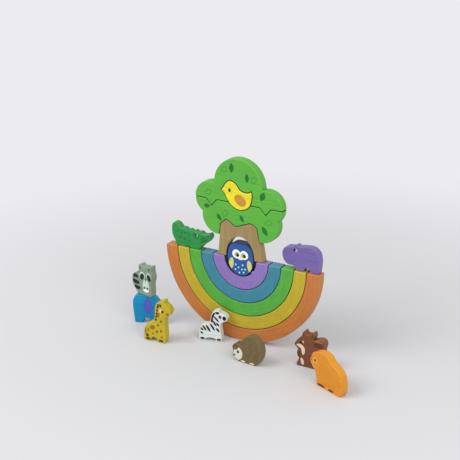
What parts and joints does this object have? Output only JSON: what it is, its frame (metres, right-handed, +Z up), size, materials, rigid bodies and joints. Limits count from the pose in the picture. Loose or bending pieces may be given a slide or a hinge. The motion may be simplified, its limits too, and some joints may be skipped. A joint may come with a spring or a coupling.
{
  "type": "balancing block",
  "caption": "Set of painted wooden balancing blocks: a rocking rainbow of nested half rings, a puzzle tree and flat animals that stand on the rings, on each other and beside them.",
  "frame": {"origin": "on the floor, in the middle of the narrow flat on which the rainbow's largest ring stands", "axes": "+X to the right seen from the front, +Y to the back, +Z up"},
  "size_m": [0.3387, 0.0892, 0.2385],
  "materials": {
    "arc_orange": "orange water-based paint on smooth wood, satin",
    "arc_yellow": "yellow water-based paint on smooth wood, satin",
    "arc_green": "green water-based paint on smooth wood, satin",
    "arc_blue": "teal blue water-based paint on smooth wood, satin",
    "arc_purple": "purple water-based paint on smooth wood, satin",
    "trunk": "brown water-based paint on smooth wood, satin",
    "crown_lower": "leaf green water-based paint on smooth wood, satin",
    "crown_upper": "leaf green water-based paint on smooth wood, satin",
    "bird": "bright yellow water-based paint on smooth wood, satin",
    "owl": "dark blue water-based paint on smooth wood, satin",
    "crocodile": "dark green water-based paint on smooth wood, satin",
    "hippo": "violet water-based paint on smooth wood, satin",
    "elephant": "sky blue water-based paint on smooth wood, satin",
    "raccoon": "grey green water-based paint on smooth wood, satin",
    "giraffe": "yellow water-based paint on smooth wood, satin",
    "zebra": "white water-based paint on smooth wood, satin",
    "hedgehog": "olive brown water-based paint on smooth wood, satin",
    "squirrel": "red brown water-based paint on smooth wood, satin",
    "lion": "amber water-based paint on smooth wood, satin"
  },
  "bodies": {
    "hedgehog": {"hedgehog": "hedgehog"},
    "arc_orange": {"arc_orange": "arc_orange"},
    "arc_yellow": {"arc_yellow": "arc_yellow"},
    "arc_green": {"arc_green": "arc_green"},
    "arc_blue": {"arc_blue": "arc_blue"},
    "arc_purple": {"arc_purple": "arc_purple"},
    "trunk": {"trunk": "trunk"},
    "crown_lower": {"crown_lower": "crown_lower"},
    "crown_upper": {"crown_upper": "crown_upper"},
    "bird": {"bird": "bird"},
    "owl": {"owl": "owl"},
    "crocodile": {"crocodile": "crocodile"},
    "hippo": {"hippo": "hippo"},
    "elephant": {"elephant": "elephant"},
    "raccoon": {"raccoon": "raccoon"},
    "giraffe": {"giraffe": "giraffe"},
    "zebra": {"zebra": "zebra"},
    "squirrel": {"squirrel": "squirrel"},
    "lion": {"lion": "lion"}
  },
  "joints": [
    {"name": "rainbow_rock", "type": "hinge", "parent": "hedgehog", "child": "arc_orange", "pos_m": [0, 0, 0.10991], "axis": [0, 1, 0], "range_deg": [-12, 12]},
    {"name": "yellow_lift", "type": "slide", "parent": "arc_orange", "child": "arc_yellow", "axis": [0, 0, 1], "range_m": [0, 0.1]},
    {"name": "green_lift", "type": "slide", "parent": "arc_yellow", "child": "arc_green", "axis": [0, 0, 1], "range_m": [0, 0.08]},
    {"name": "blue_lift", "type": "slide", "parent": "arc_green", "child": "arc_blue", "axis": [0, 0, 1], "range_m": [0, 0.062]},
    {"name": "purple_lift", "type": "slide", "parent": "arc_blue", "child": "arc_purple", "axis": [0, 0, 1], "range_m": [0, 0.045]},
    {"name": "trunk_lift", "type": "slide", "parent": "arc_purple", "child": "trunk", "axis": [0, 0, 1], "range_m": [0, 0.04]},
    {"name": "lower_crown_lift", "type": "slide", "parent": "trunk", "child": "crown_lower", "axis": [0, 0, 1], "range_m": [0, 0.03]},
    {"name": "upper_crown_lift", "type": "slide", "parent": "crown_lower", "child": "crown_upper", "axis": [0, 0, 1], "range_m": [0, 0.03]},
    {"name": "bird_slide", "type": "slide", "parent": "crown_upper", "child": "bird", "axis": [0, -1, 0], "range_m": [0, 0.02]},
    {"name": "owl_slide", "type": "slide", "parent": "arc_purple", "child": "owl", "axis": [0, -1, 0], "range_m": [0, 0.025]},
    {"name": "crocodile_lift", "type": "slide", "parent": "arc_blue", "child": "crocodile", "axis": [0, -0.9397, 0.3419], "range_m": [0, 0.035]},
    {"name": "hippo_lift", "type": "slide", "parent": "arc_green", "child": "hippo", "axis": [0.6, 0, 0.8], "range_m": [0, 0.035]},
    {"name": "elephant_lift", "type": "slide", "parent": "hedgehog", "child": "elephant", "axis": [-0.6, 0, 0.8], "range_m": [0, 0.03]},
    {"name": "raccoon_lift", "type": "slide", "parent": "elephant", "child": "raccoon", "axis": [0, 0, 1], "range_m": [0, 0.03]},
    {"name": "giraffe_lift", "type": "slide", "parent": "hedgehog", "child": "giraffe", "axis": [0, 0, 1], "range_m": [0, 0.03]},
    {"name": "zebra_lift", "type": "slide", "parent": "hedgehog", "child": "zebra", "axis": [0, 0, 1], "range_m": [0, 0.03]},
    {"name": "squirrel_lift", "type": "slide", "parent": "hedgehog", "child": "squirrel", "axis": [0, 0, 1], "range_m": [0, 0.03]},
    {"name": "lion_lift", "type": "slide", "parent": "hedgehog", "child": "lion", "axis": [0, 0, 1], "range_m": [0, 0.03]}
  ]
}
